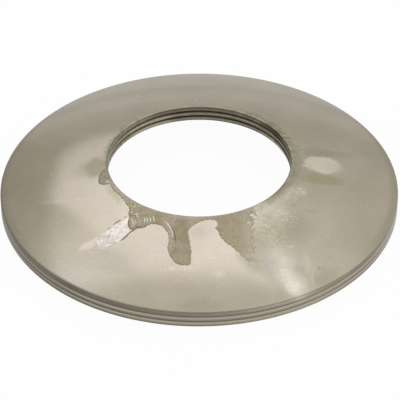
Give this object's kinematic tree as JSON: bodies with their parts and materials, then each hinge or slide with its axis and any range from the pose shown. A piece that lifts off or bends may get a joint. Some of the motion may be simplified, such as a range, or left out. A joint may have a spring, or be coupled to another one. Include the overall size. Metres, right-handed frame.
{
  "type": "spherical washer",
  "caption": "Laminated spherical washer: thin domed steel discs nested on one axis, with a plain central bore, that takes thrust between a rounded gear back and its spherical seat.",
  "frame": {"origin": "on the axis, level with the lowest edge of the rim, which the part rests on", "axes": "+Z along the bore's axis towards the crown of the dome; X and Y are free, because the part is round"},
  "size_m": [0.0762, 0.0762, 0.0093],
  "materials": {
    "steel": "satin, warm grey, lightly tumbled, with a partial film of clear oil"
  },
  "bodies": {
    "root": {"top_disc": "steel", "middle_disc": "steel", "bottom_disc": "steel"}
  },
  "joints": []
}
